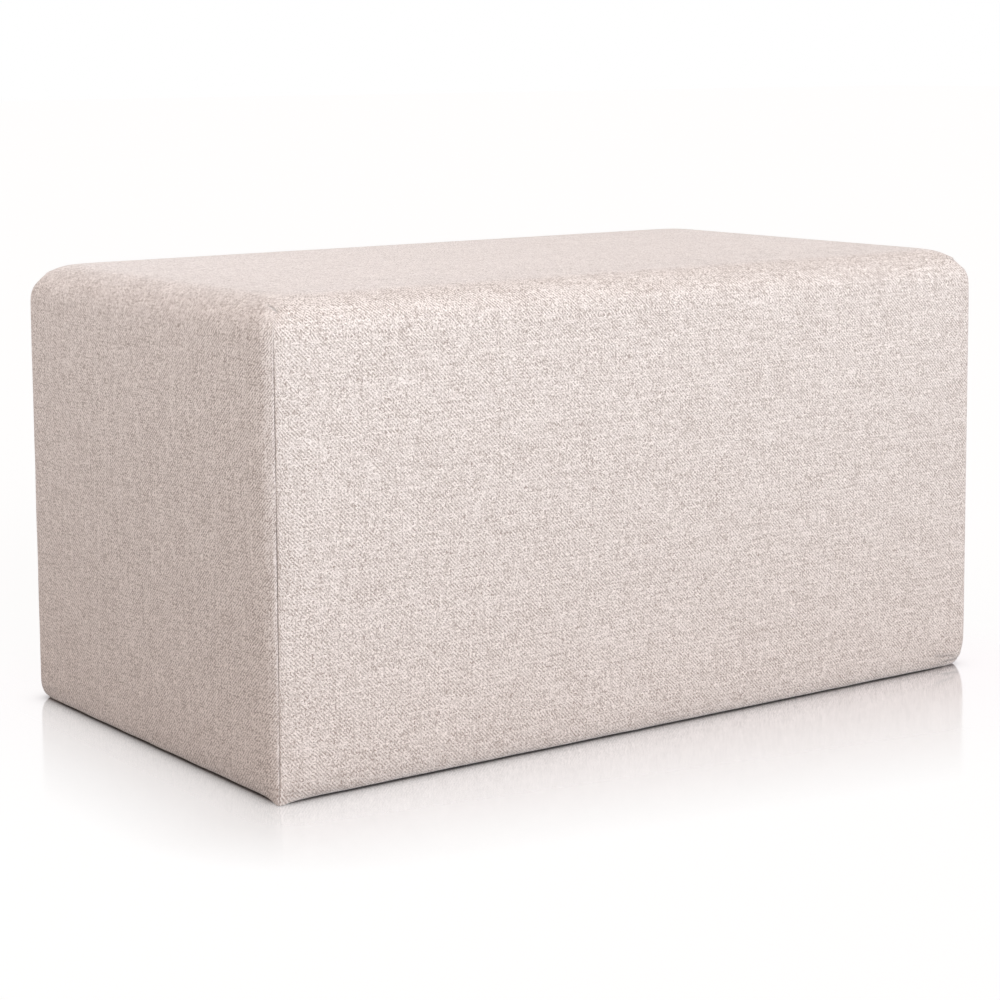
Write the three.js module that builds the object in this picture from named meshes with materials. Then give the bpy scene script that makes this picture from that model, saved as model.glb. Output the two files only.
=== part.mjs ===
// A long upholstered pouf: a padded block under one piece of twill cloth.
//
// Frame: millimetres, +X along the long side, +Y to the back, +Z up.
// The origin is the centre of the footprint, at floor level.
// The cloth runs on over the top edges without a seam and is closed by one
// upright seam at each corner, so the cover is one filled solid: crowned top,
// slightly swelled sides, rounded padded edges, a channel down each corner
// seam and a bottom edge that turns under. The folded corners reach the
// floor, and between them the edge stands a little clear of it. A thin flat
// cloth closes the underside.

import * as THREE from 'three';
import { mergeVertices } from 'three/addons/utils/BufferGeometryUtils.js';

// Overall size, at the fullest point of every side.
const LENGTH = 800;
const DEPTH = 450;
const HEIGHT = 420;

// How far the padding stands proud in the middle of a side and of the top.
const SIDE_SWELL = 1.5;
const TOP_CROWN = 4;

// Rounding of the padded top edges and of the upright seamed corners.
const TOP_ROUND = 35;
const CORNER_ROUND = 8;
const CORNER_SPREAD = 0.35; // gain of corner rounding for each mm that the top edge rolls in
const CORNER_FADE = 70; // the rounding of the grid dies away over this width of the flat faces

// The bottom edge rolls under over this height and this width.
const TURN_HEIGHT = 16;
const TURN_WIDTH = 8;

// Each corner of the bottom edge is tucked in by hand, some further than others.
const TUCK_HEIGHT = 30;
const TUCKS = [
  { endSign: -1, sideSign: -1, extraRound: 2 },
  { endSign: 1, sideSign: -1, extraRound: 9 },
  { endSign: -1, sideSign: 1, extraRound: 3 },
  { endSign: 1, sideSign: 1, extraRound: 7 },
];

// The turned-under edge clears the floor except at the corners, where the
// folded cloth is thicker: a flat pad under each corner, and a bead that runs
// on along the edge and fades.
const EDGE_CLEARANCE = 1.8;
const PAD_REACH = 30; // the two distances from the edges, added up
const PAD_FADE = 14;
const BEAD_LENGTH = 24;
const BEAD_FADE = 60;
const BEAD_WIDTH = 4;
const BEAD_WIDTH_FADE = 5;

// The upright seam lies in a channel, and the cloth puckers where it starts.
const SEAM_DEPTH = 1.6;
const SEAM_TOP_DROP = 13.5; // below the top plane
const PUCKER_DEPTH = 1.2;
const PUCKER_REACH = 9;

// The dark cloth under the pouf: a sheet set in from the cover's edge, with its
// corners cut off so that it stops short of the corner pads.
const BASE_CLOTH_INSET = 10;
const BASE_CLOTH_CORNER_CUT = 50;
const BASE_CLOTH_THICKNESS = 1.5;

// Grid lines of the cover: finer near the edges, even between them.
const EDGE_LINES = [0, 2.5, 5.5, 9.5, 15, 24, TOP_ROUND];
const LINES_ALONG_LENGTH = 10;
const LINES_ALONG_DEPTH = 6;
const LINES_UP = 6;

const COVER_COLOR = 0xd9cdc7;
const COVER_ROUGHNESS = 0.9;
const BASE_CLOTH_COLOR = 0x2b2927;
const BASE_CLOTH_ROUGHNESS = 0.95;

const HALF_LENGTH = LENGTH / 2 - SIDE_SWELL;
const HALF_DEPTH = DEPTH / 2 - SIDE_SWELL;
const TOP_PLANE = HEIGHT - TOP_CROWN;

const clamp01 = (value) => Math.min(Math.max(value, 0), 1);
const smooth = (value) => clamp01(value) ** 2 * (3 - 2 * clamp01(value));
const swellShape = (share) => 1 - share ** 4;

// Lines from low to high: close together at both ends, even in between.
function gridLines(low, high, evenSteps) {
  const first = low + TOP_ROUND;
  const last = high - TOP_ROUND;
  const lines = EDGE_LINES.map((distance) => low + distance);
  for (let step = 1; step < evenSteps; step += 1) {
    lines.push(first + ((last - first) * step) / evenSteps);
  }
  EDGE_LINES.toReversed().forEach((distance) => lines.push(high - distance));
  return lines;
}

// How far the top edge has rolled at a point of the plain block: inset and height.
function topRoll(z, insideEdge) {
  if (z < TOP_PLANE - TOP_ROUND) return { inset: 0, height: z };
  if (insideEdge >= TOP_ROUND) return { inset: insideEdge, height: TOP_PLANE };
  const travelled = z - (TOP_PLANE - TOP_ROUND) + insideEdge;
  const angle = ((travelled / (2 * TOP_ROUND)) * Math.PI) / 2;
  return {
    inset: TOP_ROUND * (1 - Math.cos(angle)),
    height: TOP_PLANE - TOP_ROUND + TOP_ROUND * Math.sin(angle),
  };
}

// The same for the bottom edge, which turns under on an oval.
function bottomTurn(z, insideEdge) {
  if (z > TURN_HEIGHT) return { inset: 0, height: z };
  if (insideEdge >= TURN_WIDTH) return { inset: insideEdge, height: 0 };
  const travelled = TURN_HEIGHT - z + insideEdge;
  const angle = ((travelled / (TURN_HEIGHT + TURN_WIDTH)) * Math.PI) / 2;
  return {
    inset: TURN_WIDTH * (1 - Math.cos(angle)),
    height: TURN_HEIGHT * (1 - Math.sin(angle)),
  };
}

// Plan radius of a corner at this height and inset.
function cornerRound(x, y, z, inset) {
  const nearTop = z > TOP_PLANE / 2;
  if (nearTop) {
    const rolled = CORNER_ROUND + CORNER_SPREAD * Math.min(inset, TOP_ROUND);
    return rolled * (1 - smooth((inset - TOP_ROUND) / CORNER_FADE));
  }
  const tuck = TUCKS.find((t) => t.endSign === Math.sign(x) && t.sideSign === Math.sign(y));
  const extra = tuck ? tuck.extraRound * smooth(1 - z / TUCK_HEIGHT) : 0;
  return (CORNER_ROUND + extra) * (1 - smooth((inset - TURN_WIDTH) / CORNER_FADE));
}

// Depth of the seam channel and of the pucker at its upper end.
function seamDepth(height) {
  const below = TOP_PLANE - height;
  const channel = SEAM_DEPTH * smooth(below / SEAM_TOP_DROP);
  const pucker = PUCKER_DEPTH * Math.max(0, 1 - Math.abs(below - SEAM_TOP_DROP) / PUCKER_REACH);
  return channel + pucker;
}

// Moves a point of a sharp-cornered ring onto the ring with rounded corners.
function roundInPlan(x, y, halfX, halfY, radius, groove) {
  const overX = Math.abs(x) - (halfX - radius);
  const overY = Math.abs(y) - (halfY - radius);
  if (overX <= 0 || overY <= 0 || radius <= 0) return [x, y];
  const onDiagonal = Math.abs(overX - overY) < 0.01;
  const reach = (Math.max(overX, overY) - (onDiagonal ? groove : 0)) / Math.hypot(overX, overY);
  return [
    Math.sign(x) * (halfX - radius + overX * reach),
    Math.sign(y) * (halfY - radius + overY * reach),
  ];
}

// Gap under the cover: none at the corner pads, the full clearance elsewhere.
function underGap(x, y, inset) {
  const alongX = HALF_LENGTH - Math.abs(x);
  const alongY = HALF_DEPTH - Math.abs(y);
  const pad = 1 - smooth((alongX + alongY - PAD_REACH) / PAD_FADE);
  const beadLength = 1 - smooth((Math.max(alongX, alongY) - BEAD_LENGTH) / BEAD_FADE);
  const beadWidth = 1 - smooth((inset - BEAD_WIDTH) / BEAD_WIDTH_FADE);
  return EDGE_CLEARANCE * (1 - Math.max(pad, beadLength * beadWidth));
}

// Takes a point on the plain block to its place on the padded form.
function padded(x, y, z) {
  const onFlat = z === 0 || z === TOP_PLANE;
  const insideEdge = onFlat ? Math.min(HALF_LENGTH - Math.abs(x), HALF_DEPTH - Math.abs(y)) : 0;
  const isTop = z > TOP_PLANE / 2;
  const roll = isTop ? topRoll(z, insideEdge) : bottomTurn(z, insideEdge);
  const ringX = HALF_LENGTH - roll.inset;
  const ringY = HALF_DEPTH - roll.inset;
  const movedX = roll.inset === insideEdge ? x : (x * ringX) / (HALF_LENGTH - insideEdge);
  const movedY = roll.inset === insideEdge ? y : (y * ringY) / (HALF_DEPTH - insideEdge);
  const radius = cornerRound(x, y, z, roll.inset);
  const groove = insideEdge < TURN_WIDTH ? seamDepth(roll.height) : 0;
  const [planX, planY] = roundInPlan(movedX, movedY, ringX, ringY, radius, groove);

  // The swell of the sides and the crown of the top.
  const shareX = planX / HALF_LENGTH;
  const shareY = planY / HALF_DEPTH;
  const shareZ = (2 * roll.height) / TOP_PLANE - 1;
  const swellX = SIDE_SWELL * swellShape(shareY) * swellShape(shareZ) * shareX ** 3;
  const swellY = SIDE_SWELL * swellShape(shareX) * swellShape(shareZ) * shareY ** 3;
  const crown = isTop ? TOP_CROWN * swellShape(shareX) * swellShape(shareY) : 0;
  const raised = (roll.height / TOP_PLANE) * crown;
  const lift = isTop ? 0 : underGap(x, y, roll.inset) * (1 - clamp01(z / TURN_HEIGHT));
  return [planX + swellX, planY + swellY, roll.height + raised + lift];
}

// Each square of a block's top and underside is two triangles. Their shared
// edge is turned to point at the middle of the face, so that the edges follow
// the corner folds and never bridge them.
function turnDiagonals(block) {
  const position = block.attributes.position;
  const index = block.index;
  for (let first = 0; first < index.count; first += 6) {
    const [a, b, d] = [0, 1, 2].map((offset) => index.getX(first + offset));
    const c = index.getX(first + 4);
    const isFlat = position.getZ(a) === position.getZ(c) && position.getZ(a) === position.getZ(b);
    const middle = (position.getX(b) + position.getX(d)) * (position.getY(b) + position.getY(d));
    const slope = (position.getX(d) - position.getX(b)) * (position.getY(d) - position.getY(b));
    if (isFlat && middle * slope < 0) {
      [a, b, c, a, c, d].forEach((vertex, offset) => index.setX(first + offset, vertex));
    }
  }
}

// The cover: a block cut into a grid, with each grid point moved onto the padded form.
function coverGeometry() {
  const xs = gridLines(-HALF_LENGTH, HALF_LENGTH, LINES_ALONG_LENGTH);
  const ys = gridLines(-HALF_DEPTH, HALF_DEPTH, LINES_ALONG_DEPTH);
  const zs = gridLines(0, TOP_PLANE, LINES_UP);
  const steps = [xs.length - 1, ys.length - 1, zs.length - 1];
  const block = new THREE.BoxGeometry(1, 1, 1, ...steps);
  turnDiagonals(block);
  block.deleteAttribute('normal');
  block.deleteAttribute('uv');
  const geometry = mergeVertices(block);
  const position = geometry.attributes.position;
  for (let index = 0; index < position.count; index += 1) {
    const column = Math.round((position.getX(index) + 0.5) * steps[0]);
    const row = Math.round((position.getY(index) + 0.5) * steps[1]);
    const layer = Math.round((position.getZ(index) + 0.5) * steps[2]);
    position.setXYZ(index, ...padded(xs[column], ys[row], zs[layer]));
  }
  geometry.computeVertexNormals();
  return geometry;
}

// The base cloth: a flat sheet whose corners are cut off.
function baseClothGeometry() {
  const halfX = HALF_LENGTH - BASE_CLOTH_INSET;
  const halfY = HALF_DEPTH - BASE_CLOTH_INSET;
  const cutX = halfX - BASE_CLOTH_CORNER_CUT;
  const cutY = halfY - BASE_CLOTH_CORNER_CUT;
  const outline = new THREE.Shape();
  outline.moveTo(halfX, -cutY);
  outline.lineTo(halfX, cutY);
  outline.lineTo(cutX, halfY);
  outline.lineTo(-cutX, halfY);
  outline.lineTo(-halfX, cutY);
  outline.lineTo(-halfX, -cutY);
  outline.lineTo(-cutX, -halfY);
  outline.lineTo(cutX, -halfY);
  outline.closePath();
  return new THREE.ExtrudeGeometry(outline, { depth: BASE_CLOTH_THICKNESS, bevelEnabled: false });
}

function namedMesh(name, geometry, color, roughness) {
  const material = new THREE.MeshStandardMaterial({ color, roughness, metalness: 0 });
  const mesh = new THREE.Mesh(geometry, material);
  mesh.name = name;
  return mesh;
}

const pouf = new THREE.Group();
pouf.add(namedMesh('cover', coverGeometry(), COVER_COLOR, COVER_ROUGHNESS));
pouf.add(namedMesh('base_cloth', baseClothGeometry(), BASE_CLOTH_COLOR, BASE_CLOTH_ROUGHNESS));

export default pouf;
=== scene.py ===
# The looks of a long upholstered pouf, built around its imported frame.
#
# Metres, +X along the long side, +Y to the back, +Z up, origin on the floor.
# The cover is one filled form under a single piece of melange twill. It is
# made on a grid of a plain block's surface: each grid point is moved onto the
# padded form, cloth simulation swells it, and the seams, puckers and corner
# folds are worked in afterwards. The twill is drawn on the flat sheet that
# the cloth was cut from, so its lines run on over the rounded edges.

import math

import bpy
import numpy as np
from mathutils import Matrix, Vector


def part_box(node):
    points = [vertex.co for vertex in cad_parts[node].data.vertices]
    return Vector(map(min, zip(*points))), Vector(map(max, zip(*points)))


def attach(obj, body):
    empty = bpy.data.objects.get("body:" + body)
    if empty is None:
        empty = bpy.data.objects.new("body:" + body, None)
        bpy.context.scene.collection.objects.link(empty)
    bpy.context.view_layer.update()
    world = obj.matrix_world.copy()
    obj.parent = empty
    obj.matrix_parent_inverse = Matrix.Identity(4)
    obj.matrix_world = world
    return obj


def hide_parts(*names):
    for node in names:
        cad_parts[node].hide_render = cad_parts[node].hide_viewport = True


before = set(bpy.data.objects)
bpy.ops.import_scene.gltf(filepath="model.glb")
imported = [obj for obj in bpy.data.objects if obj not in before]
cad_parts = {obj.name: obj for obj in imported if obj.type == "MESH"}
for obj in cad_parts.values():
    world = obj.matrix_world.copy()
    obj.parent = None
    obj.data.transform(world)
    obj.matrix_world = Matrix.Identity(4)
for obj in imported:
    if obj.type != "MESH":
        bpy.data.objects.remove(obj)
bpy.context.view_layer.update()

MM = 0.001

# Closer than this is level with the top or the floor, and closer than the second
# is on a seam. The third only keeps a division from failing.
LEVEL = 0.001 * MM
ON_SEAM = 0.1 * MM
TINY = 1e-9

# The padded form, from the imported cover's box.
_, COVER_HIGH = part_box("cover")
SIDE_SWELL = 1.5 * MM
TOP_CROWN = 4 * MM
HALF_LENGTH = COVER_HIGH.x - SIDE_SWELL
HALF_DEPTH = COVER_HIGH.y - SIDE_SWELL
TOP_PLANE = COVER_HIGH.z - TOP_CROWN
TOP_ROUND = 35 * MM

# The upright corners: round in plan, rounder where the top edge rolls in. The
# corner at -X-Y is fuller than the others, and most of all towards the top.
CORNER_ROUND = 8 * MM
FULL_CORNER_ROUND = 20 * MM
FULL_CORNER_FOOT = 13 * MM
FULL_CORNER_RISE = 250 * MM
CORNER_SPREAD = 0.35
CORNER_FADE = 70 * MM

# The bottom edge rolls under, the corners further than the edges between them,
# and each corner is tucked in by hand. The one at -X-Y comes down to a point.
TURN_HEIGHT = 16 * MM
TURN_WIDTH = 8 * MM
EDGE_TURN_HEIGHT = 15 * MM
EDGE_TURN_WIDTH = 6.4 * MM
TURN_REACH = 25 * MM
TURN_FADE = 60 * MM
TUCK_HEIGHT = 30 * MM
TUCK_ROUNDS = {
    (-1, -1): 2 * MM,
    (1, -1): 9 * MM,
    (-1, 1): 0.5 * MM,
    (1, 1): 7 * MM,
}
POINT_ROUND = 3 * MM
POINT_REACH = 22 * MM
POINT_HEIGHT = 26 * MM

# The folded corners reach the floor, and the edge between them clears it. A
# narrow bead of the cloth slopes down from the one to the other.
EDGE_CLEARANCE = 0.85 * MM
PAD_REACH = 30 * MM
PAD_FADE = 14 * MM
BEAD_LENGTH = 24 * MM
BEAD_FADE = 60 * MM
BEAD_WIDTH = 4 * MM
BEAD_WIDTH_FADE = 5 * MM

# Grid lines on the plain block, in millimetres from its edges: close together
# there, and evenly spaced between.
EDGE_STEPS = [0, 1, 2, 3.5, 5.5, 8, 10.5, 13, 15.5, 18, 21, 24.5, 28.5, 35]
EVEN_STEP = 14 * MM

# A slow wave is a sum of this many sines, with lengths spread over this range.
WAVE_COUNT = 12
WAVE_SPREAD = (0.7, 1.5)

# The cloth's simulation. The foam under the cloth holds it near its place, less
# on the broad top than on the sides, and most where it rolls over the edges.
SWELL_FRAMES = 20
CLOTH_SETTINGS = {
    "quality": 6,
    "mass": 0.15,
    "tension_stiffness": 40,
    "compression_stiffness": 20,
    "shear_stiffness": 12,
    "bending_stiffness": 0.4,
    "shrink_min": 0.003,
    "use_pressure": True,
    "uniform_pressure_force": 4,
}
HELD_HEIGHT = 6 * MM
SIDE_HOLD = 0.26
TOP_HOLD = 0.2
EDGE_HOLD = 0.55
EDGE_HOLD_REACH = 12 * MM
EDGE_HOLD_FADE = 40 * MM
HOLD_WAVE = 0.02
HOLD_WAVE_LENGTH = 130 * MM
HOLD_WAVE_SEED = 11

# The corner seams: a channel between two soft lips, with a dimple at its top end.
# Each seam is pulled a little tighter in some places than in others, and eases
# off towards the floor.
SEAM_START = 15.2 * MM
SEAM_FADE = 30 * MM
SEAM_LEAD = 0.25
SEAM_DEPTH = 1.5 * MM
SEAM_HALF_WIDTH = 1.6 * MM
SEAM_PULL = 0.25
SEAM_PULL_LENGTH = 50 * MM
SEAM_PULL_SEED = 1009
SEAM_EASE = 0.3
SEAM_LEAST = 0.4
SEAM_MOST = 1.5
LIP_HEIGHT = 0.4 * MM
LIP_MIDDLE = 5 * MM
LIP_REACH = 5 * MM
DRAW_IN = 0.5 * MM
DRAW_REACH = 16 * MM
DIMPLE_DEPTH = 1.2 * MM
DIMPLE_REACH = 9 * MM

# Folds round the corners: the corner's signs, which edge, the fold's two ends as
# (way round the corner, way in from the edge) in millimetres, its depth and its
# half width. The way round is positive on the end and negative on the front.
FOLDS = [
    ((-1, -1), "top", (-6, 6.2), (21, -6.5), 0.85, 1.7),
    ((-1, -1), "top", (-4, 13), (-28, 9), 0.35, 2.2),
    ((-1, -1), "bottom", (4, 14), (30, 8), 0.3, 2.5),
    ((-1, -1), "bottom", (-5, 11), (-26, 6), 0.3, 2.5),
    ((1, -1), "top", (2, 6), (-17, -5), 0.9, 2.0),
    ((1, -1), "top", (4, 14), (24, 9), 0.4, 2.2),
    ((1, -1), "bottom", (-50, 15), (-8, 9), 0.8, 2.4),
    ((1, -1), "bottom", (-38, 5), (2, 6.5), 1.1, 1.9),
    ((1, -1), "bottom", (6, 12), (34, 7), 0.7, 3.0),
    ((-1, 1), "top", (3, 5), (-19, -7), 1.0, 2.0),
    ((-1, 1), "top", (-5, 13), (-26, 15), 0.4, 2.2),
    ((-1, 1), "bottom", (8, 10), (44, 13), 0.4, 3.0),
    ((-1, 1), "bottom", (-6, 12), (-30, 8), 0.6, 2.5),
    ((1, 1), "top", (-2, 4), (18, -6), 0.9, 2.0),
    ((1, 1), "bottom", (5, 9), (38, 15), 0.7, 3.0),
    ((1, 1), "bottom", (-8, 14), (-35, 7), 0.6, 3.0),
]
FOLD_TAPER = 0.35

# The ridge beside a fold: its share of the fold's depth, and its middle and half
# width in half widths of the fold.
RIDGE_SHARE = 0.5
RIDGE_MIDDLE = 2.2
RIDGE_REACH = 2

# The hem under the bottom edge is a little uneven.
HEM_WAVE = 0.35 * MM
HEM_WAVE_LENGTH = 50 * MM
HEM_WAVE_SEED = 31
HEM_REACH = 22 * MM
HEM_WIDTH = 6 * MM

# Shade along the seams, less of it where each stitch crosses, and in the folds.
SEAM_SHADE_REACH = 1.6 * MM
SEAM_SHADE = 0.35
FOLD_SHADE = 0.45
STITCH = 4.4 * MM
STITCH_SHADE = 0.5

# Painted shade makes the cloth a little darker round the top's edge, where
# handling also makes it a little smoother.
RIM_REACH = 140 * MM
RIM_DROP = -6 * MM
RIM_DROP_FADE = 16 * MM
RIM_PATCH_LENGTH = 40 * MM
RIM_SEED = 41
RIM_EVEN = 0.85
RIM_PAINTED_SHADE = 0.08
RUB_SMOOTHNESS = 0.06

# Painted shade: the cloth's colour gets darker and warmer towards the floor, most of all at the
# hem.
LOW_PAINTED_SHADE = 0.155
LOW_SHADE_TINT = (1, 0.96, 0.94, 1)
HEM_PAINTED_SHADE = 0.125
HEM_SHADE_REACH = 16 * MM

# The twill: two threads over, two under. Widths and lengths of the yarns' marks
# are in threads.
THREAD = 0.86 * MM
TWILL_REPEAT = 4.0
FLOAT_LENGTH = 2.0
DARK_YARN = (0.40, 0.325, 0.284, 1)
LIGHT_YARN = (0.99, 0.92, 0.872, 1)
# Painted shade between the yarns: each yarn's colour is darker at its sides.
ARCH_PAINTED_SHADE = 0.33
FLOAT_CONTRAST = 0.28
FLECK_LENGTH = 1.6
FLECK_SPACING = 7.31
FLECK_CONTRAST = 2.6
STREAK_WIDTH = 2.2
STREAK_LENGTH = 20.0
STREAK_CONTRAST = 0.62
SLUB_WIDTH = 1.4
SLUB_LENGTH = 50.0
SLUB_CONTRAST = 1.02
MOTTLE_SIZE = 14 * MM
MOTTLE_CONTRAST = 0.17
SPECK_CONTRAST = 0.75
SPECK_SHARE = 0.035
TWILL_CONTRAST = 0.37

# Steps in the noise that keep the weft's streaks and the specks on their own.
WEFT_APART = 5.0
SPECKS_APART = 2.0

# Painted relief shade: the yarns' shades differ more on the ends and the top than on
# the long sides, in place of the yarns' shadows where light grazes those sides.
END_RELIEF_SHADE = 0.6
TOP_RELIEF_SHADE = 0.6

# The cloth's relief and finish.
FIBRE_WIDTH = 0.3
FIBRE_LENGTH = 2.5
FIBRE_HEIGHT = 0.35
BUMP_STRENGTH = 0.5
BUMP_DEPTH = 0.15 * MM
FLOAT_END_HEIGHT = 0.5
GAP_ROUGHNESS = 0.97
YARN_ROUGHNESS = 0.84
SPECULAR = 0.2
SHEEN = 0.5
SHEEN_ROUGHNESS = 0.5

# The camera: a long lens, its view lowered a little by its shift.
CAMERA_PLACE = Vector((-1.41163, -1.94068, 0.60817))
CAMERA_YAW = math.radians(35.7944)
CAMERA_PITCH = math.radians(-6.7484)
CAMERA_ROLL = math.radians(-0.3626)
CAMERA_LENS = 90.438
CAMERA_SENSOR = 36
CAMERA_DROP = 0.15


def add_camera():
    """A long lens at the pouf's front left, a little above its top."""
    camera = bpy.data.objects.new("camera", bpy.data.cameras.new("camera"))
    camera.data.lens = CAMERA_LENS
    camera.data.sensor_width = CAMERA_SENSOR
    camera.data.shift_y = -CAMERA_DROP
    forward = Vector((math.sin(CAMERA_YAW), math.cos(CAMERA_YAW), math.tan(CAMERA_PITCH)))
    forward.normalize()
    level = Vector((math.cos(CAMERA_YAW), -math.sin(CAMERA_YAW), 0))
    turned = Matrix.Rotation(-CAMERA_ROLL, 3, forward)
    right = turned @ level
    up = right.cross(forward)
    camera.matrix_world = Matrix((right, up, -forward)).transposed().to_4x4()
    camera.location = CAMERA_PLACE
    bpy.context.scene.collection.objects.link(camera)
    bpy.context.scene.camera = camera


# ---------------------------------------------------------------- small maths

def smooth(share):
    """0 to 1 with a flat start and end, for a number or an array."""
    share = np.clip(share, 0, 1)
    return share * share * (3 - 2 * share)


def bump(offset, width):
    """A rounded hump that is 1 at offset 0 and 0 from width on."""
    return smooth(1 - np.abs(offset) / width)


# ---------------------------------------------------------------- cover: form

def grid_lines(low, high):
    """Places of the grid lines from low to high, closer together at both ends."""
    near = np.array(EDGE_STEPS) * MM
    first = low + near[-1]
    last = high - near[-1]
    count = max(2, round((last - first) / EVEN_STEP))
    between = np.linspace(first, last, count + 1)[1:-1]
    return np.concatenate([low + near, between, (high - near)[::-1]])


def block_grid():
    """Grid on the surface of the plain block: its points, its square faces and,
    for each face, the side it belongs to."""
    lines = [
        grid_lines(-HALF_LENGTH, HALF_LENGTH),
        grid_lines(-HALF_DEPTH, HALF_DEPTH),
        grid_lines(0, TOP_PLANE),
    ]
    known = {}
    faces = []
    sides = []

    def point(axis, end, a, b):
        key = [0, 0, 0]
        key[axis] = end
        key[(axis + 1) % 3] = a
        key[(axis + 2) % 3] = b
        return known.setdefault(tuple(key), len(known))

    for axis in range(3):
        counts = [len(lines[(axis + 1) % 3]) - 1, len(lines[(axis + 2) % 3]) - 1]
        for end, side in ((0, -1), (len(lines[axis]) - 1, 1)):
            for a in range(counts[0]):
                for b in range(counts[1]):
                    corners = [(a, b), (a + 1, b), (a + 1, b + 1), (a, b + 1)]
                    if side < 0:
                        corners.reverse()
                    faces.append([point(axis, end, *corner) for corner in corners])
                    sides.append((axis, side))
    points = np.array([[lines[k][key[k]] for k in range(3)] for key in known])
    return points, np.array(faces), np.array(sides)


def corner_gaps(points):
    """Distance of each plain point from the nearest end face and side face."""
    return HALF_LENGTH - np.abs(points[:, 0]), HALF_DEPTH - np.abs(points[:, 1])


def in_upper_half(points):
    """Whether each point goes with the top edge, and not with the bottom one."""
    return points[:, 2] > TOP_PLANE / 2


def turn_of(points):
    """Height and width of the turn under the bottom edge at each point."""
    share = smooth((np.maximum(*corner_gaps(points)) - TURN_REACH) / TURN_FADE)
    height = TURN_HEIGHT + (EDGE_TURN_HEIGHT - TURN_HEIGHT) * share
    width = TURN_WIDTH + (EDGE_TURN_WIDTH - TURN_WIDTH) * share
    return height, width


def roll_of(points):
    """How far each point of the plain block has rolled over the top or bottom
    edge: its inset from the sides, its height, and the cloth's way from the
    upper end of the flat side."""
    z = points[:, 2]
    on_flat = (z <= LEVEL) | (z >= TOP_PLANE - LEVEL)
    inside = np.where(on_flat, np.minimum(*corner_gaps(points)), 0)

    travelled = np.clip(z - (TOP_PLANE - TOP_ROUND) + inside, 0, 2 * TOP_ROUND)
    angle = travelled / (2 * TOP_ROUND) * math.pi / 2
    top_inset = TOP_ROUND * (1 - np.cos(angle)) + np.maximum(inside - TOP_ROUND, 0)
    rolled_height = TOP_PLANE - TOP_ROUND + TOP_ROUND * np.sin(angle)
    top_height = np.minimum(np.where(travelled > 0, rolled_height, z), TOP_PLANE)

    turn_height, turn_width = turn_of(points)
    travelled = np.clip(turn_height - z + inside, 0, turn_height + turn_width)
    turn = travelled / (turn_height + turn_width) * math.pi / 2
    low_inset = turn_width * (1 - np.cos(turn)) + np.maximum(inside - turn_width, 0)
    low_height = np.where(travelled > 0, turn_height * (1 - np.sin(turn)), z)

    upper = in_upper_half(points)
    inset = np.where(upper, top_inset, low_inset)
    height = np.where(upper, top_height, low_height)
    return inside, inset, height, angle


def corner_radius(points, inset):
    """Plan radius of the nearest corner at each point."""
    x, y, z = points.T
    full = FULL_CORNER_FOOT + (FULL_CORNER_ROUND - FULL_CORNER_FOOT) * smooth(z / FULL_CORNER_RISE)
    plain = np.where((x < 0) & (y < 0), full, CORNER_ROUND)
    rolled = plain + CORNER_SPREAD * np.minimum(inset, TOP_ROUND)
    top = rolled * (1 - smooth((inset - TOP_ROUND) / CORNER_FADE))
    tuck = np.zeros(len(points))
    for (end_sign, side_sign), extra in TUCK_ROUNDS.items():
        here = (np.sign(x) == end_sign) & (np.sign(y) == side_sign)
        tuck[here] = extra
    low = plain + tuck * smooth(1 - z / TUCK_HEIGHT)
    low = low * (1 - smooth((inset - TURN_WIDTH) / CORNER_FADE))
    return np.where(in_upper_half(points), top, low)


def round_in_plan(x, y, half_x, half_y, radius):
    """Moves the points of sharp-cornered rings onto rings with round corners."""
    over_x = np.abs(x) - (half_x - radius)
    over_y = np.abs(y) - (half_y - radius)
    rounded = (over_x > 0) & (over_y > 0)
    reach = np.maximum(over_x, over_y) / np.maximum(np.hypot(over_x, over_y), TINY)
    new_x = np.sign(x) * (half_x - radius + over_x * reach)
    new_y = np.sign(y) * (half_y - radius + over_y * reach)
    return np.where(rounded, new_x, x), np.where(rounded, new_y, y)


def under_gap(points, inset):
    """Gap under the cover: none at the corner pads, full between them."""
    x_gap, y_gap = corner_gaps(points)
    pad = 1 - smooth((x_gap + y_gap - PAD_REACH) / PAD_FADE)
    bead = 1 - smooth((np.maximum(x_gap, y_gap) - BEAD_LENGTH) / BEAD_FADE)
    bead = bead * (1 - smooth((inset - BEAD_WIDTH) / BEAD_WIDTH_FADE))
    return EDGE_CLEARANCE * (1 - np.maximum(pad, bead))


def on_ring(points, inside, inset):
    """Where points lie in plan once the edges have rolled in, with the corners
    still sharp."""
    x = points[:, 0] * (HALF_LENGTH - inset) / np.maximum(HALF_LENGTH - inside, TINY)
    y = points[:, 1] * (HALF_DEPTH - inset) / np.maximum(HALF_DEPTH - inside, TINY)
    return x, y


def padded_form(points):
    """Takes points on the plain block to their places on the padded form,
    before any swelling."""
    inside, inset, height, _ = roll_of(points)
    x, y = on_ring(points, inside, inset)
    radius = corner_radius(points, inset)
    x, y = round_in_plan(x, y, HALF_LENGTH - inset, HALF_DEPTH - inset, radius)
    turned = 1 - np.clip(points[:, 2] / TURN_HEIGHT, 0, 1)
    lift = np.where(in_upper_half(points), 0, under_gap(points, inset) * turned)
    return pointed_corner(points, np.stack([x, y, height + lift], 1))


def pointed_corner(points, places):
    """Brings the bottom corner at -X-Y out to its point."""
    x_gap, y_gap = corner_gaps(points)
    near = 1 - smooth(np.abs(y_gap - x_gap) / POINT_REACH)
    near = near * (1 - smooth(np.minimum(x_gap, y_gap) / POINT_REACH))
    low = 1 - smooth(points[:, 2] / POINT_HEIGHT)
    share = np.where((points[:, 0] < 0) & (points[:, 1] < 0), near * low, 0)
    x, y = round_in_plan(points[:, 0], points[:, 1], HALF_LENGTH, HALF_DEPTH, POINT_ROUND)
    sharp = np.stack([x, y, points[:, 2]], 1)
    return places + (sharp - places) * share[:, None]


# ---------------------------------------------------------------- cover: cloth

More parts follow.
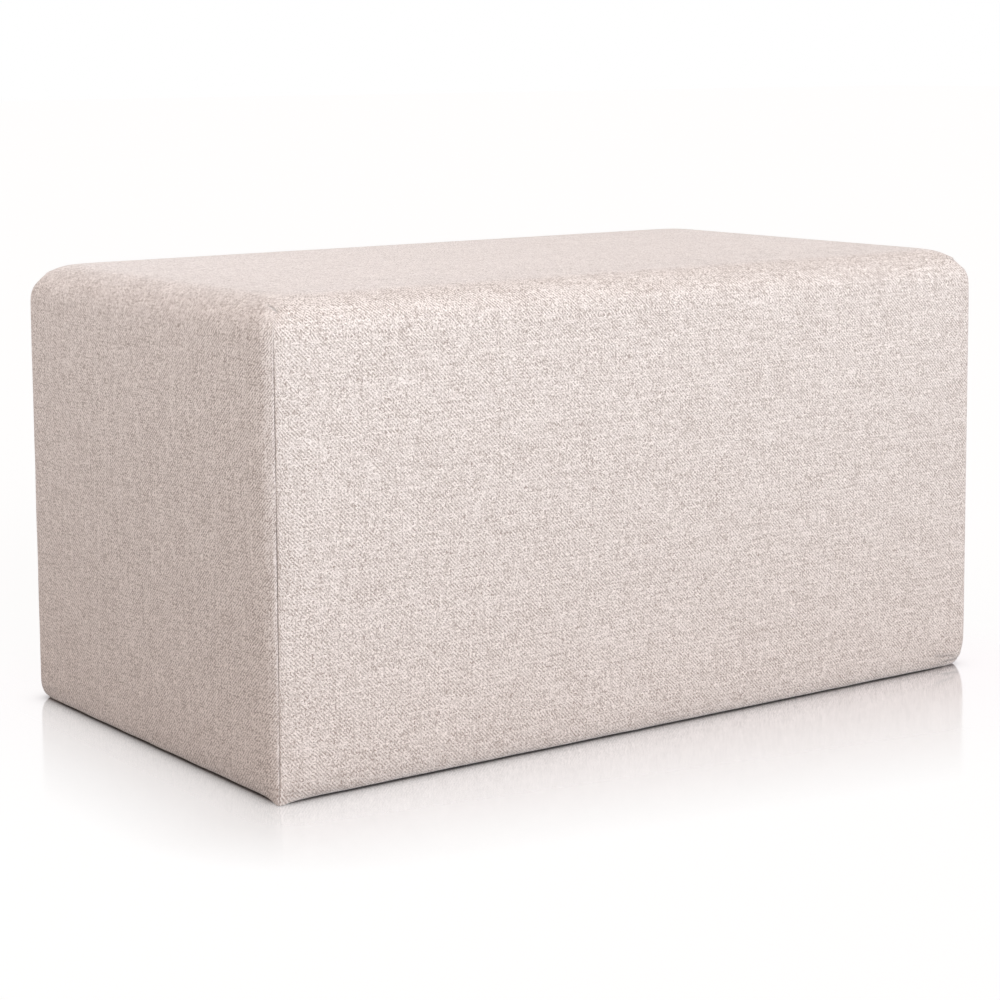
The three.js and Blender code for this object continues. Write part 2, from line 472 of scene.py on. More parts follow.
def sheet_places(points, axis):
    """Where points of one side lie on the flat sheet of cloth. Over the rolled
    top edge the way along the cloth is the way round the arc."""
    inside, inset, _, angle = roll_of(points)
    x, y, z = points.T
    ring_x, ring_y = on_ring(points, inside, inset)
    over_arc = TOP_ROUND * (math.pi / 2 - angle)
    down = over_arc + np.maximum(TOP_PLANE - TOP_ROUND - z, 0)
    far_x = np.sign(x) * (HALF_LENGTH - TOP_ROUND + down)
    far_y = np.sign(y) * (HALF_DEPTH - TOP_ROUND + down)
    if axis == 2:
        x_gap, y_gap = corner_gaps(points)
        on_roll = in_upper_half(points) & (inside < TOP_ROUND)
        use_x = on_roll & (x_gap <= y_gap)
        use_y = on_roll & (x_gap > y_gap)
    else:
        use_x = np.full(len(points), axis == 0)
        use_y = ~use_x
    u = np.where(use_x, far_x, ring_x)
    v = np.where(use_y, far_y, ring_y)
    return u, v


def cover_mesh():
    """The cover's mesh with its sheet map, before swelling, and the plain
    block's point of each vertex."""
    points, faces, sides = block_grid()
    places = padded_form(points)
    mesh = bpy.data.meshes.new("cover")
    mesh.from_pydata(places.tolist(), [], faces.tolist())
    layer = mesh.uv_layers.new(name="sheet")
    loops = faces.ravel()
    face_axis = np.repeat(sides[:, 0], 4)
    uv = np.zeros((len(loops), 2))
    for axis in range(3):
        here = face_axis == axis
        u, v = sheet_places(points[loops[here]], axis)
        uv[here, 0] = u
        uv[here, 1] = v
    layer.data.foreach_set("uv", uv.ravel().astype(np.float32))
    attribute = mesh.attributes.new("plain", "FLOAT_VECTOR", "POINT")
    attribute.data.foreach_set("vector", points.ravel().astype(np.float32))
    mesh.update()
    return mesh, points, places


def vector_rows(items, name):
    """One row for each of a mesh's items, with the named vector of the item."""
    rows = np.zeros(len(items) * 3)
    items.foreach_get(name, rows)
    return rows.reshape(-1, 3)


def subdivide(piece):
    """One level of subdivision, applied."""
    modifier = piece.modifiers.new("finer", "SUBSURF")
    modifier.levels = 1
    modifier.render_levels = 1
    modifier.uv_smooth = "NONE"
    bpy.context.view_layer.objects.active = piece
    bpy.ops.object.modifier_apply(modifier=modifier.name)


def slow_waves(points, length, seed):
    """A smooth random value from about -1 to 1 that changes over the given
    length, the same on every run."""
    dice = np.random.default_rng(seed)
    total = np.zeros(len(points))
    for _ in range(WAVE_COUNT):
        heading = dice.normal(size=3)
        heading /= np.linalg.norm(heading)
        pace = 2 * math.pi / (length * dice.uniform(*WAVE_SPREAD))
        total += np.sin(points @ heading * pace + dice.uniform(0, 2 * math.pi))
    return total / math.sqrt(WAVE_COUNT)


def hold_of(points):
    """How firmly each point is held: fully by the corner seams and the board
    under the pouf, and a little by the foam elsewhere."""
    x_gap, y_gap = corner_gaps(points)
    z = points[:, 2]
    on_seam = (np.maximum(x_gap, y_gap) < ON_SEAM) & (z < TOP_PLANE - SEAM_START)
    gaps = np.sort(np.stack([x_gap, y_gap, np.minimum(z, TOP_PLANE - z)]), axis=0)
    from_edge = gaps[1]
    edge = 1 - smooth((from_edge - EDGE_HOLD_REACH) / EDGE_HOLD_FADE)
    is_top = z > TOP_PLANE - ON_SEAM
    hold = np.where(is_top, TOP_HOLD, SIDE_HOLD)
    hold = hold + HOLD_WAVE * slow_waves(points, HOLD_WAVE_LENGTH, HOLD_WAVE_SEED)
    hold = hold + (EDGE_HOLD - hold) * edge
    return np.where(on_seam | (z < HELD_HEIGHT), 1.0, hold)


def swell_by_simulation(cover, points, start):
    """Blows the cloth up from inside while its seams and its bottom edge hold,
    and gives the settled places, each move kept under a cap."""
    group = cover.vertex_groups.new(name="held")
    for number, hold in enumerate(hold_of(points)):
        group.add([number], float(hold), "REPLACE")
    modifier = cover.modifiers.new("swell", "CLOTH")
    cloth = modifier.settings
    for name, value in CLOTH_SETTINGS.items():
        setattr(cloth, name, value)
    cloth.vertex_group_mass = group.name
    cloth.effector_weights.gravity = 0
    modifier.collision_settings.use_collision = False
    modifier.point_cache.frame_start = 1
    modifier.point_cache.frame_end = SWELL_FRAMES
    for number in range(1, SWELL_FRAMES + 1):
        bpy.context.scene.frame_set(number)
    shown = cover.evaluated_get(bpy.context.evaluated_depsgraph_get())
    settled = vector_rows(shown.data.vertices, "co")
    cover.modifiers.remove(modifier)
    cover.vertex_groups.remove(group)
    bpy.context.scene.frame_set(1)
    return start + capped(settled - start, points)


def capped(moves, points):
    """Moves kept under the cap, which the largest ones only come close to."""
    length = np.linalg.norm(moves, axis=1)
    on_top = smooth((points[:, 2] - TOP_PLANE + TOP_ROUND) / TOP_ROUND)
    cap = SIDE_SWELL + (TOP_CROWN - SIDE_SWELL) * on_top
    kept = cap * np.tanh(length / cap)
    return moves * (kept / np.maximum(length, TINY))[:, None]


def seam_strength(points):
    """About 1 along a seam and 0 above its start, with slow changes in its pull,
    which eases off towards the floor."""
    _, _, height, _ = roll_of(points)
    below_top = TOP_PLANE - height
    start = smooth((below_top - SEAM_START) / SEAM_FADE + SEAM_LEAD)
    pull = 1 + SEAM_PULL * slow_waves(points, SEAM_PULL_LENGTH, SEAM_PULL_SEED)
    pull = pull - SEAM_EASE * below_top / TOP_PLANE
    below_plane = points[:, 2] < TOP_PLANE - LEVEL
    return np.where(below_plane, start * np.clip(pull, SEAM_LEAST, SEAM_MOST), 0)


def seam_channel(points, places):
    """Presses each seam's channel into its corner, along the corner's diagonal."""
    away = np.maximum(*corner_gaps(points))
    depth = SEAM_DEPTH * smooth(1 - away / SEAM_HALF_WIDTH) * seam_strength(points)
    inward = np.stack([-np.sign(points[:, 0]), -np.sign(points[:, 1])], 1) / math.sqrt(2)
    places[:, :2] += inward * depth[:, None]


def fold_height(points, corner, edge, first, last, depth, half_width):
    """A fold's valley, with a low ridge beside it, both running out at the ends."""
    x_gap, y_gap = corner_gaps(points)
    nearer = np.minimum(x_gap, y_gap)
    from_edge = TOP_PLANE - points[:, 2] if edge == "top" else points[:, 2]
    place = np.stack([y_gap - x_gap, from_edge - nearer], 1) / MM
    first = np.array(first, float)
    along = np.array(last, float) - first
    length = np.linalg.norm(along)
    along /= length
    way = (place - first) @ along / length
    beside = (place - first) @ np.array([-along[1], along[0]])
    taper = smooth(np.minimum(way, 1 - way) / FOLD_TAPER)
    valley = -bump(beside, half_width)
    ridge = RIDGE_SHARE * bump(beside - RIDGE_MIDDLE * half_width, RIDGE_REACH * half_width)
    here = (np.sign(points[:, 0]) == corner[0]) & (np.sign(points[:, 1]) == corner[1])
    return np.where(here, depth * MM * (valley + ridge) * taper, 0)


def relief(points):
    """How far the worked-in details raise the cloth off its settled form."""
    x_gap, y_gap = corner_gaps(points)
    away = np.maximum(x_gap, y_gap)
    z = points[:, 2]
    strength = seam_strength(points)
    total = LIP_HEIGHT * bump(away - LIP_MIDDLE, LIP_REACH) * strength
    total -= DRAW_IN * bump(away, DRAW_REACH) * np.where(strength > 0, 1, 0)
    to_seam_end = np.sqrt(away ** 2 + (TOP_PLANE - z - SEAM_START / 2) ** 2)
    total -= DIMPLE_DEPTH * bump(to_seam_end, DIMPLE_REACH)
    for fold in FOLDS:
        total += fold_height(points, *fold)
    hem = (1 - smooth(z / HEM_REACH)) * (1 - smooth(np.minimum(x_gap, y_gap) / HEM_WIDTH))
    total += HEM_WAVE * hem * slow_waves(points, HEM_WAVE_LENGTH, HEM_WAVE_SEED)
    return total


def fold_depths(points):
    """How deep in a fold each place lies, in millimetres."""
    total = np.zeros(len(points))
    for fold in FOLDS:
        total -= np.minimum(fold_height(points, *fold), 0) / MM
    return total


def add_value(mesh, name, values):
    """Gives the mesh a number at each vertex, for its material to read."""
    attribute = mesh.attributes.new(name, "FLOAT", "POINT")
    attribute.data.foreach_set("value", values.astype(np.float32))


def work_in_details(mesh):
    """Seams, dimples, folds and the uneven hem, on the subdivided cloth."""
    points = vector_rows(mesh.attributes["plain"].data, "vector")
    normals = vector_rows(mesh.vertex_normals, "vector")
    places = vector_rows(mesh.vertices, "co")
    places += normals * relief(points)[:, None]
    seam_channel(points, places)
    places[:, 2] = np.maximum(places[:, 2], 0)
    mesh.vertices.foreach_set("co", places.ravel())
    away = np.maximum(*corner_gaps(points))
    add_value(mesh, "seam", bump(away, SEAM_SHADE_REACH) * seam_strength(points))
    add_value(mesh, "fold", fold_depths(points))
    # Painted shade round the top's edge, where the cloth is also a little smoother.
    add_value(mesh, "rim_shade_and_rub", rim_shade_and_rubbing(points))
    mesh.attributes.remove(mesh.attributes["plain"])


def rim_shade_and_rubbing(points):
    """How much painted shade each place gets, and how much it is rubbed smoother: most where the
    cloth turns over the top's edge.
    """
    inside = np.minimum(*corner_gaps(points))
    below = TOP_PLANE - points[:, 2]
    edge = (1 - smooth(inside / RIM_REACH)) * (1 - smooth((below - RIM_DROP) / RIM_DROP_FADE))
    patches = RIM_EVEN + (1 - RIM_EVEN) * slow_waves(points, RIM_PATCH_LENGTH, RIM_SEED)
    return edge * np.clip(patches, 0, 1)


def make_cover():
    mesh, points, places = cover_mesh()
    cover = bpy.data.objects.new("pouf_cover", mesh)
    bpy.context.scene.collection.objects.link(cover)
    swelled = swell_by_simulation(cover, points, places)
    mesh.vertices.foreach_set("co", swelled.ravel())
    subdivide(cover)
    mesh = cover.data
    work_in_details(mesh)
    mesh.polygons.foreach_set("use_smooth", np.ones(len(mesh.polygons), bool))
    mesh.update()
    mesh.materials.append(cover_cloth())
    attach(cover, "root")
    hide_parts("cover")


# ---------------------------------------------------------------- base cloth

BASE_THICKNESS = 0.5 * MM
BASE_LIFT = 0.3 * MM
BASE_CORNER_CUT = 50 * MM

# Its look: fibres and clouds at these scales per metre, and rows of pressed dots.
BASE_DARK = (0.012, 0.011, 0.0105, 1)
BASE_LIGHT = (0.034, 0.031, 0.029, 1)
BASE_FIBRE_SCALE = 900.0
BASE_FIBRE_CONTRAST = 1.4
BASE_CLOUD_SCALE = 25.0
BASE_CLOUD_CONTRAST = 0.8
DOT_PITCH = 2 * MM
DOT_EDGE = 0.6
DOT_CONTRAST = -0.35
DOT_SMOOTHNESS = 0.3
BASE_GAP_ROUGHNESS = 0.98
BASE_FIBRE_ROUGHNESS = 0.86
BASE_SPECULAR = 0.3
BASE_BUMP_STRENGTH = 0.4
BASE_BUMP_DEPTH = 0.1 * MM


def make_base_cloth():
    """The dark cloth under the pouf: a thin flat sheet with its corners cut off."""
    _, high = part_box("base_cloth")
    half_x, half_y = high.x, high.y
    cut_x = half_x - BASE_CORNER_CUT
    cut_y = half_y - BASE_CORNER_CUT
    outline = [
        (half_x, -cut_y), (half_x, cut_y), (cut_x, half_y), (-cut_x, half_y),
        (-half_x, cut_y), (-half_x, -cut_y), (-cut_x, -half_y), (cut_x, -half_y),
    ]
    count = len(outline)
    points = [(x, y, BASE_LIFT) for x, y in outline]
    points += [(x, y, BASE_LIFT + BASE_THICKNESS) for x, y in outline]
    faces = [list(range(count))[::-1], list(range(count, 2 * count))]
    for k in range(count):
        after = (k + 1) % count
        faces.append([k, after, after + count, k + count])
    mesh = bpy.data.meshes.new("base_cloth_sheet")
    mesh.from_pydata(points, [], faces)
    mesh.materials.append(base_cloth_material())
    sheet = bpy.data.objects.new("pouf_base_cloth", mesh)
    bpy.context.scene.collection.objects.link(sheet)
    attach(sheet, "root")
    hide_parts("base_cloth")


# ---------------------------------------------------------------- materials

class Shader:
    """One new material, with short calls for its nodes."""

    def __init__(self, name):
        self.material = bpy.data.materials.new(name)
        self.material.use_nodes = True
        self.tree = self.material.node_tree
        self.surface = self.tree.nodes["Principled BSDF"]

    def node(self, kind, **settings):
        made = self.tree.nodes.new(kind)
        for name, value in settings.items():
            setattr(made, name, value)
        return made

    def put(self, value, socket):
        """Links an output, or sets a plain number or colour."""
        if isinstance(value, bpy.types.NodeSocket):
            self.tree.links.new(value, socket)
        else:
            socket.default_value = value

    def joined(self, kind, *values, **settings):
        """A new node's first output, with its first inputs filled in order."""
        made = self.node(kind, **settings)
        for value, socket in zip(values, made.inputs):
            self.put(value, socket)
        return made.outputs[0]

    def math(self, operation, *values):
        return self.joined("ShaderNodeMath", *values, operation=operation)

    def between(self, share, low, high):
        """A value from low to high as share goes from 0 to 1."""
        made = self.node("ShaderNodeMix", data_type="FLOAT")
        for value, name in ((share, "Factor"), (low, "A"), (high, "B")):
            self.put(value, made.inputs[name])
        return made.outputs["Result"]

    def spread(self, middle, parts):
        """Adds up parts about a middle value: each is an output that runs from
        0 to 1 and how far it may move the sum."""
        total = middle
        for value, contrast in parts:
            centred = self.math("SUBTRACT", value, 0.5)
            total = self.math("MULTIPLY_ADD", centred, contrast, total)
        return total

    def arch(self, share):
        """A rounded hump: 0 where share is 0 or 1, and 1 half way."""
        rest = self.math("SUBTRACT", 1.0, share)
        return self.math("MULTIPLY", self.math("MULTIPLY", share, rest), 4.0)

    def combine(self, x, y, z=0.0):
        return self.joined("ShaderNodeCombineXYZ", x, y, z)

    def axes(self, vector):
        """The three parts of a vector."""
        split = self.node("ShaderNodeSeparateXYZ")
        self.put(vector, split.inputs[0])
        return split.outputs

    def colour_between(self, share, low, high, **settings):
        """A colour from low to high, by the mix node's sockets for colours."""
        made = self.node("ShaderNodeMix", data_type="RGBA", **settings)
        self.put(share, made.inputs["Factor"])
        self.put(low, made.inputs[6])
        self.put(high, made.inputs[7])
        return made.outputs[2]

    def tint(self, colour, share, tint):
        """A colour multiplied by a tint, as far as share says."""
        return self.colour_between(share, colour, tint, blend_type="MULTIPLY")

    def darken(self, colour, factor):
        """A colour with its three parts multiplied by a factor."""
        made = self.node("ShaderNodeVectorMath", operation="SCALE")
        self.put(colour, made.inputs[0])
        self.put(factor, made.inputs["Scale"])
        return made.outputs[0]

    def random(self, x, y, z=0.0):
        """One random number for each whole-number place."""
        made = self.node("ShaderNodeTexWhiteNoise", noise_dimensions="3D")
        self.put(self.combine(x, y, z), made.inputs["Vector"])
        return made.outputs["Value"]

    def noise(self, place, scale, detail=1.0, roughness=0.5):
        made = self.node("ShaderNodeTexNoise", noise_dimensions="3D")
        self.put(place, made.inputs["Vector"])
        made.inputs["Scale"].default_value = scale
        made.inputs["Detail"].default_value = detail
        made.inputs["Roughness"].default_value = roughness
        return made.outputs["Fac"]

    def attribute(self, name):
        """A number that the mesh carries at each vertex."""
        return self.node("ShaderNodeAttribute", attribute_name=name).outputs["Fac"]

    def own_place(self):
        """The place on the object, in metres."""
        return self.node("ShaderNodeTexCoord").outputs["Object"]

    def emboss(self, height, strength, depth):
        """Bumps the surface by a height from 0 to about 1."""
        bump_node = self.node("ShaderNodeBump")
        bump_node.inputs["Strength"].default_value = strength
        bump_node.inputs["Distance"].default_value = depth
        self.put(height, bump_node.inputs["Height"])
        self.put(bump_node.outputs[0], self.surface.inputs["Normal"])


class Twill:
    """The threads of the twill at a place on the flat sheet. Warp and weft count
    the threads, and the yarn is the one of the two that shows."""

    def __init__(self, cloth):
        self.cloth = cloth
        self.place = cloth.node("ShaderNodeUVMap", uv_map="sheet").outputs[0]
        parts = cloth.axes(self.place)
        self.across = cloth.math("DIVIDE", parts[0], THREAD)
        self.along = cloth.math("DIVIDE", parts[1], THREAD)
        warp = cloth.math("FLOOR", self.across)
        weft = cloth.math("FLOOR", self.along)
        self.step = cloth.math("ADD", warp, weft)
        self.block = cloth.math("FLOOR", cloth.math("DIVIDE", self.step, TWILL_REPEAT))
        phase = cloth.math("FLOORED_MODULO", self.step, TWILL_REPEAT)
        # The phase is a whole number, so half a thread keeps it clear of the limit.
        self.warp_shows = cloth.math("LESS_THAN", phase, FLOAT_LENGTH - 0.5)
        self.yarn = cloth.between(self.warp_shows, weft, warp)

    def streak(self, width, length):
        """Streaks along the warp where it shows, and along the weft elsewhere."""
        cloth = self.cloth
        place = cloth.combine(
            cloth.math("DIVIDE", self.across, width), cloth.math("DIVIDE", self.along, length))
        warp_streak = cloth.noise(place, 1.0)
        place = cloth.combine(
            cloth.math("DIVIDE", self.across, length), cloth.math("DIVIDE", self.along, width),
            width + WEFT_APART)
        weft_streak = cloth.noise(place, 1.0)
        return cloth.between(self.warp_shows, weft_streak, warp_streak)

    def run(self):
        """The way along the yarn that shows, in threads."""
        return self.cloth.between(self.warp_shows, self.across, self.along)

    def side_arch(self):
        """The rounding of each yarn across its width."""
        side = self.cloth.between(self.warp_shows, self.along, self.across)
        return self.cloth.arch(self.cloth.math("FRACT", side))


def cover_cloth():
    """Melange twill of cream and grey-beige yarns, drawn on the flat sheet."""
    cloth = Shader("melange_twill")
    twill = Twill(cloth)
    share = cloth.math("SUBTRACT", melange(cloth, twill), 0.5)
    # Painted relief shade: a wider spread between the yarns on the ends and the top.
    share = cloth.math("MULTIPLY_ADD", share, relief_shade_gain(cloth), 0.5)
    colour = cloth.colour_between(share, DARK_YARN, LIGHT_YARN)
    # Painted shade: the colour goes warmer and darker towards the floor, and darker in the seams,
    # folds and round the top's edge.
    low = lowness(cloth)
    colour = cloth.tint(colour, cloth.math("MULTIPLY", low, low), LOW_SHADE_TINT)
    colour = cloth.darken(colour, painted_shade_of(cloth))
    cloth.put(colour, cloth.surface.inputs["Base Color"])
    height = float_height(cloth, twill)
    cloth.emboss(height, BUMP_STRENGTH, BUMP_DEPTH)
    roughness = cloth.between(height, GAP_ROUGHNESS, YARN_ROUGHNESS)
    roughness = cloth.math("MULTIPLY_ADD", cloth.attribute("rim_shade_and_rub"), -RUB_SMOOTHNESS, roughness)
    cloth.put(roughness, cloth.surface.inputs["Roughness"])
    cloth.surface.inputs["Specular IOR Level"].default_value = SPECULAR
    cloth.surface.inputs["Sheen Weight"].default_value = SHEEN
    cloth.surface.inputs["Sheen Roughness"].default_value = SHEEN_ROUGHNESS
    return cloth.material


def melange(cloth, twill):
    """The share of light yarn at each place. Each float has its own shade, each
    yarn goes lighter and darker along its length, neighbouring yarns share
    streaks, and the whole mottles. Each yarn is also darker at its sides, a
    painted shade between the yarns."""
    float_shade = cloth.random(twill.yarn, twill.block, twill.warp_shows)
    fleck_place = cloth.combine(
        cloth.math("MULTIPLY", twill.yarn, FLECK_SPACING),
        cloth.math("DIVIDE", twill.run(), FLECK_LENGTH), twill.warp_shows)
    draw = cloth.random(twill.yarn, twill.block, cloth.math("ADD", twill.warp_shows, SPECKS_APART))
    return cloth.spread(0.5, [
        (twill.side_arch(), ARCH_PAINTED_SHADE),
        (float_shade, FLOAT_CONTRAST),
        (cloth.noise(fleck_place, 1.0), FLECK_CONTRAST),
        (twill.streak(STREAK_WIDTH, STREAK_LENGTH), STREAK_CONTRAST),
        (twill.streak(SLUB_WIDTH, SLUB_LENGTH), SLUB_CONTRAST),
        (cloth.noise(twill.place, 1 / MOTTLE_SIZE, detail=2.0), MOTTLE_CONTRAST),
        (twill.warp_shows, TWILL_CONTRAST),
        (cloth.math("GREATER_THAN", draw, 1 - SPECK_SHARE), SPECK_CONTRAST),
        (cloth.math("LESS_THAN", draw, SPECK_SHARE), -SPECK_CONTRAST),
    ])


def float_height(cloth, twill):
    """The twill's relief. Each float is rounded across its width and dips at its
    two ends, and fine fibres stand up from it."""
    part = cloth.math("FLOORED_MODULO", twill.step, FLOAT_LENGTH)
    way = cloth.math("ADD", cloth.math("FRACT", twill.run()), part)
    crest = cloth.arch(cloth.math("DIVIDE", way, FLOAT_LENGTH))
    crest = cloth.between(crest, FLOAT_END_HEIGHT, 1.0)
    hump = cloth.math("MULTIPLY", twill.side_arch(), crest)
    fibres = twill.streak(FIBRE_WIDTH, FIBRE_LENGTH)
    return cloth.math("MULTIPLY_ADD", fibres, FIBRE_HEIGHT, hump)


def relief_shade_gain(cloth):
    """How far the yarns' shades differ: more on the ends and the top than on the long
    sides, a painted shade of the yarns' relief where light grazes those sides."""
    facing = cloth.axes(cloth.node("ShaderNodeTexCoord").outputs["Normal"])
    total = 1.0
    for output, gain in ((facing[0], END_RELIEF_SHADE), (facing[2], TOP_RELIEF_SHADE)):
        total = cloth.math("MULTIPLY_ADD", cloth.math("MULTIPLY", output, output), gain, total)
    return total


def lowness(cloth):
    """0 at the top, rising to 1 at the floor."""
    height = cloth.axes(cloth.own_place())[2]
    return cloth.math("SUBTRACT", 1.0, cloth.math("DIVIDE", height, TOP_PLANE))


def painted_shade_of(cloth):
    """A factor on the cloth's colour, all painted shade: in the folds and in the seams
    between the stitches, round the top's edge, and towards the floor."""
    height = cloth.axes(cloth.own_place())[2]
    # Painted shade in the seams' channels, less where each stitch crosses, and in the folds.
    stitch = cloth.arch(cloth.math("FRACT", cloth.math("DIVIDE", height, STITCH)))
    seam = cloth.math("MULTIPLY", cloth.attribute("seam"), cloth.between(stitch, STITCH_SHADE, 1.0))
    factor = cloth.math("MULTIPLY_ADD", seam, -SEAM_SHADE, 1.0)
    factor = cloth.math("MULTIPLY_ADD", cloth.attribute("fold"), -FOLD_SHADE, factor)
    # Painted shade round the top's edge.
    factor = cloth.math("MULTIPLY_ADD", cloth.attribute("rim_shade_and_rub"), -RIM_PAINTED_SHADE, factor)
    # Painted shade, darker towards the floor and most of all at the hem.
    low_shade = cloth.math("MULTIPLY_ADD", lowness(cloth), -LOW_PAINTED_SHADE, 1.0)
    low = cloth.math("EXPONENT", cloth.math("DIVIDE", height, -HEM_SHADE_REACH))
    low_shade = cloth.math("MULTIPLY_ADD", low, -HEM_PAINTED_SHADE, low_shade)
    return cloth.math("MULTIPLY", factor, low_shade)


def base_cloth_material():
    """Matt black spun-bonded cloth: crossing fibres, and rows of pressed dots."""
    cloth = Shader("black_spun_cloth")
    place = cloth.own_place()
    fibres = cloth.noise(place, BASE_FIBRE_SCALE, detail=3.0)
    clouds = cloth.noise(place, BASE_CLOUD_SCALE, detail=2.0)
    dots = []
    for output in cloth.axes(place)[:2]:
        dots.append(cloth.arch(cloth.math("FRACT", cloth.math("DIVIDE", output, DOT_PITCH))))
    dot = cloth.math("GREATER_THAN", cloth.math("MULTIPLY", *dots), DOT_EDGE)
    shade = cloth.spread(0.5, [
        (fibres, BASE_FIBRE_CONTRAST),
        (clouds, BASE_CLOUD_CONTRAST),
        (dot, DOT_CONTRAST),
    ])
    colour = cloth.colour_between(shade, BASE_DARK, BASE_LIGHT)
    cloth.put(colour, cloth.surface.inputs["Base Color"])
    height = cloth.math("MULTIPLY_ADD", dot, -1.0, fibres)
    cloth.emboss(height, BASE_BUMP_STRENGTH, BASE_BUMP_DEPTH)
    roughness = cloth.between(fibres, BASE_GAP_ROUGHNESS, BASE_FIBRE_ROUGHNESS)
    roughness = cloth.math("MULTIPLY_ADD", dot, -DOT_SMOOTHNESS, roughness)
    cloth.put(roughness, cloth.surface.inputs["Roughness"])
    cloth.surface.inputs["Specular IOR Level"].default_value = BASE_SPECULAR
    return cloth.material


# ---------------------------------------------------------------- stage

# The floor throws back a plain pale floor's light onto the pouf. What the camera
# sees of it is a matt part, its own glow and its gloss.
FLOOR_REACH = 30
FLOOR_BOUNCE_COLOUR = (0.5, 0.5, 0.5, 1)
FLOOR_MATT_COLOUR = (0.14, 0.14, 0.14, 1)
FLOOR_GLOW = 0.885
FLOOR_GLOSS = 0.59
FLOOR_GLOSS_COLOUR = (1, 0.955, 0.965, 1)
FLOOR_GLOSS_ROUGHNESS = 0.1

# The floor's gloss dies away within these distances of the pouf's end and front,
# and the polish gets a little stronger towards +X.
GLOSS_END_REACH = 0.142
GLOSS_FRONT_REACH = 0.26
POLISH_RISE = 0.7

# The glow starts this far in under the pouf's outline and comes up over the second
# distance outwards; the dark patch it leaves is a painted contact shadow. The third
# is the round of the dark patch's corners.
GLOW_INSET = 5.5 * MM
GLOW_FADE = 6 * MM
GLOW_CORNER = 14 * MM

# The light: even and warm from all round, a wide key from the front, and a box.
SKY_STRENGTH = 0.609
SKY_COLOUR = (1.143, 0.973, 0.883, 1)

KEY_STRENGTH = 0.99
KEY_ANGLE = math.radians(60)
KEY_FROM = Vector((0, -1, 0.1))
KEY_COLOUR = (0.894, 1.0, 1.106)

# A soft box near the top's left end.
BOX_WIDTH = 0.6
BOX_POWER = 1.275
BOX_COLOUR = (0.925, 0.985, 1.09)
BOX_PLACE = Vector((-0.9, 0.05, 0.95))
BOX_TARGET = Vector((-0.3, 0, 0.3))


def floor_gaps(paint):
    """How far a place on the floor lies beyond the pouf's ends, and beyond its
    front and back. Both are negative under the pouf."""
    parts = paint.axes(paint.own_place())
    gaps = []
    for output, half in ((parts[0], COVER_HIGH.x), (parts[1], COVER_HIGH.y)):
        gaps.append(paint.math("SUBTRACT", paint.math("ABSOLUTE", output), half))
    return parts[0], gaps


def floor_gloss(paint, along, gaps):
    """The floor's gloss: strongest beside the pouf, fading away from it."""
    polish = paint.math("MULTIPLY_ADD", along, POLISH_RISE, 1.0)
    end_share = paint.math("DIVIDE", paint.math("MAXIMUM", gaps[0], 0.0), GLOSS_END_REACH)
    front_share = paint.math("DIVIDE", paint.math("MAXIMUM", gaps[1], 0.0), GLOSS_FRONT_REACH)
    front_share = paint.math("DIVIDE", front_share, polish)
    square = paint.math("MULTIPLY", front_share, front_share)
    share = paint.math("SQRT", paint.math("MULTIPLY_ADD", end_share, end_share, square))
    fade = paint.math("MAXIMUM", paint.math("SUBTRACT", 1.0, share), 0.0)
    return paint.math("MULTIPLY", paint.math("MULTIPLY", fade, polish), FLOOR_GLOSS)


def floor_glow(paint, gaps):
    """The floor's own light: none under the pouf, and full a little outside it. Its fall to none is
    a painted contact shadow.
    """
    squares = []
    for gap in gaps:
        beyond = paint.math("MAXIMUM", paint.math("ADD", gap, GLOW_INSET + GLOW_CORNER), 0.0)
        squares.append(paint.math("MULTIPLY", beyond, beyond))
    distance = paint.math("SQRT", paint.math("ADD", *squares))
    outside = paint.math("MAXIMUM", paint.math("SUBTRACT", distance, GLOW_CORNER), 0.0)
    left = paint.math("EXPONENT", paint.math("DIVIDE", outside, -GLOW_FADE))
    return paint.math("MULTIPLY", paint.math("SUBTRACT", 1.0, left), FLOOR_GLOW)


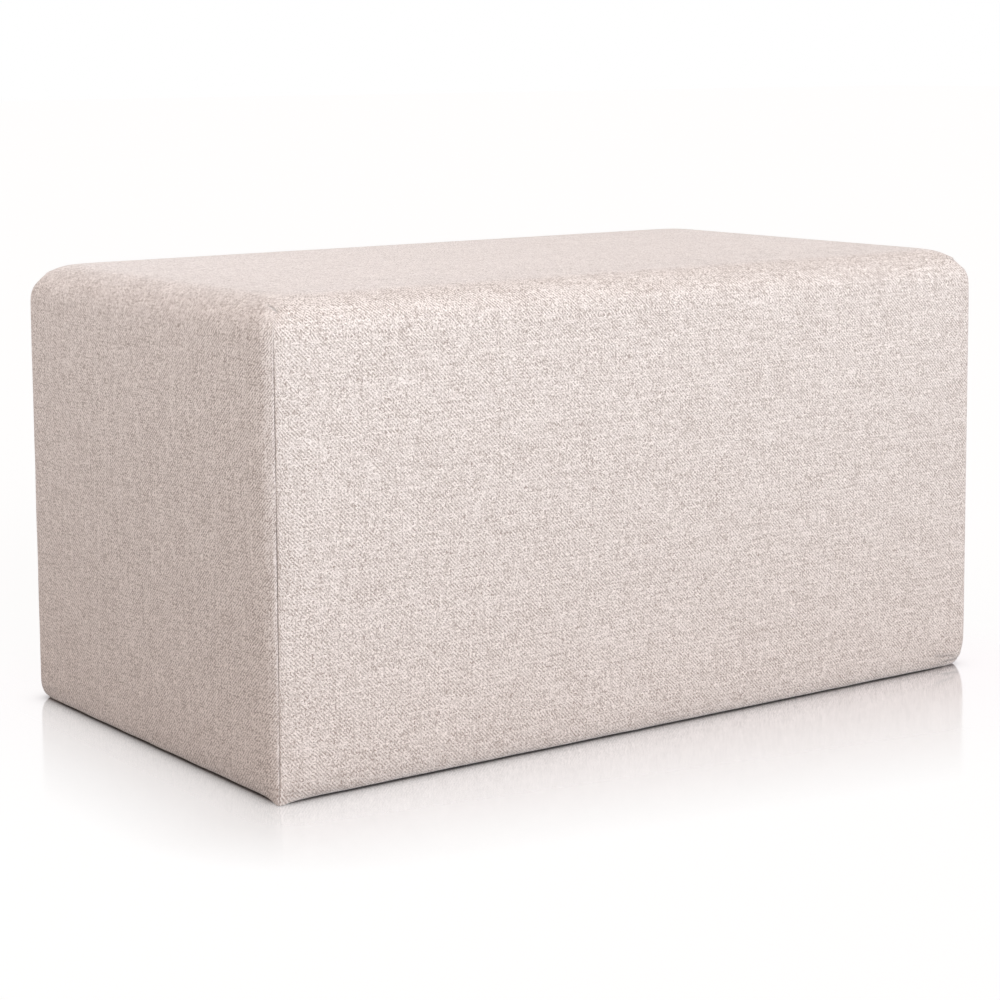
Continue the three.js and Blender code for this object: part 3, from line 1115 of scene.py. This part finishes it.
def add_floor():
    """A pale floor. The light that it throws back onto the pouf is modest, and
    what the camera sees of it is near white, with a painted contact shadow at
    the pouf and a reflection that fades."""
    corners = []
    for x, y in ((-1, -1), (1, -1), (1, 1), (-1, 1)):
        corners.append((x * FLOOR_REACH, y * FLOOR_REACH, 0))
    mesh = bpy.data.meshes.new("floor")
    mesh.from_pydata(corners, [], [(0, 1, 2, 3)])
    floor = bpy.data.objects.new("floor", mesh)
    bpy.context.scene.collection.objects.link(floor)
    paint = Shader("floor_paint")
    along, gaps = floor_gaps(paint)
    bounce = paint.joined("ShaderNodeBsdfDiffuse", FLOOR_BOUNCE_COLOUR)
    matt = paint.joined("ShaderNodeBsdfDiffuse", FLOOR_MATT_COLOUR)
    glow = paint.joined("ShaderNodeEmission", (1, 1, 1, 1), floor_glow(paint, gaps))
    pale = paint.joined("ShaderNodeAddShader", matt, glow)
    gloss = paint.joined("ShaderNodeBsdfGlossy", FLOOR_GLOSS_COLOUR, FLOOR_GLOSS_ROUGHNESS)
    seen = paint.joined("ShaderNodeMixShader", floor_gloss(paint, along, gaps), pale, gloss)
    in_view = paint.node("ShaderNodeLightPath").outputs["Is Camera Ray"]
    both = paint.joined("ShaderNodeMixShader", in_view, bounce, seen)
    paint.put(both, paint.tree.nodes["Material Output"].inputs["Surface"])
    mesh.materials.append(paint.material)


def add_sky():
    """Even soft light from all round, and a plain white backdrop where it shows."""
    world = bpy.data.worlds.new("studio")
    world.use_nodes = True
    bpy.context.scene.world = world
    tree = world.node_tree
    soft = tree.nodes["Background"]
    soft.inputs["Color"].default_value = SKY_COLOUR
    soft.inputs["Strength"].default_value = SKY_STRENGTH
    white = tree.nodes.new("ShaderNodeBackground")
    white.inputs["Color"].default_value = (1, 1, 1, 1)
    white.inputs["Strength"].default_value = 1.0
    path = tree.nodes.new("ShaderNodeLightPath")
    shows = tree.nodes.new("ShaderNodeMath")
    shows.operation = "MAXIMUM"
    tree.links.new(path.outputs["Is Camera Ray"], shows.inputs[0])
    tree.links.new(path.outputs["Is Glossy Ray"], shows.inputs[1])
    mix = tree.nodes.new("ShaderNodeMixShader")
    tree.links.new(shows.outputs[0], mix.inputs[0])
    tree.links.new(soft.outputs[0], mix.inputs[1])
    tree.links.new(white.outputs[0], mix.inputs[2])
    tree.links.new(mix.outputs[0], tree.nodes["World Output"].inputs["Surface"])


def place_lamp(data, place, towards):
    """Puts a lamp at a place, shining the given way."""
    lamp = bpy.data.objects.new(data.name, data)
    lamp.location = place
    lamp.rotation_mode = "QUATERNION"
    lamp.rotation_quaternion = towards.to_track_quat("-Z", "Y")
    lamp.visible_camera = False
    lamp.visible_glossy = False
    bpy.context.scene.collection.objects.link(lamp)


def add_lamps():
    """A wide key light low in front, and a soft box at the left."""
    key = bpy.data.lights.new("key", "SUN")
    key.energy = KEY_STRENGTH * math.pi
    key.angle = KEY_ANGLE
    key.color = KEY_COLOUR
    place_lamp(key, KEY_FROM, -KEY_FROM)
    box = bpy.data.lights.new("left_box", "AREA")
    box.size = BOX_WIDTH
    box.energy = BOX_POWER
    box.color = BOX_COLOUR
    place_lamp(box, BOX_PLACE, BOX_TARGET - BOX_PLACE)


add_camera()
add_sky()
add_lamps()
add_floor()
make_cover()
make_base_cloth()
bpy.context.scene.view_settings.view_transform = "Standard"
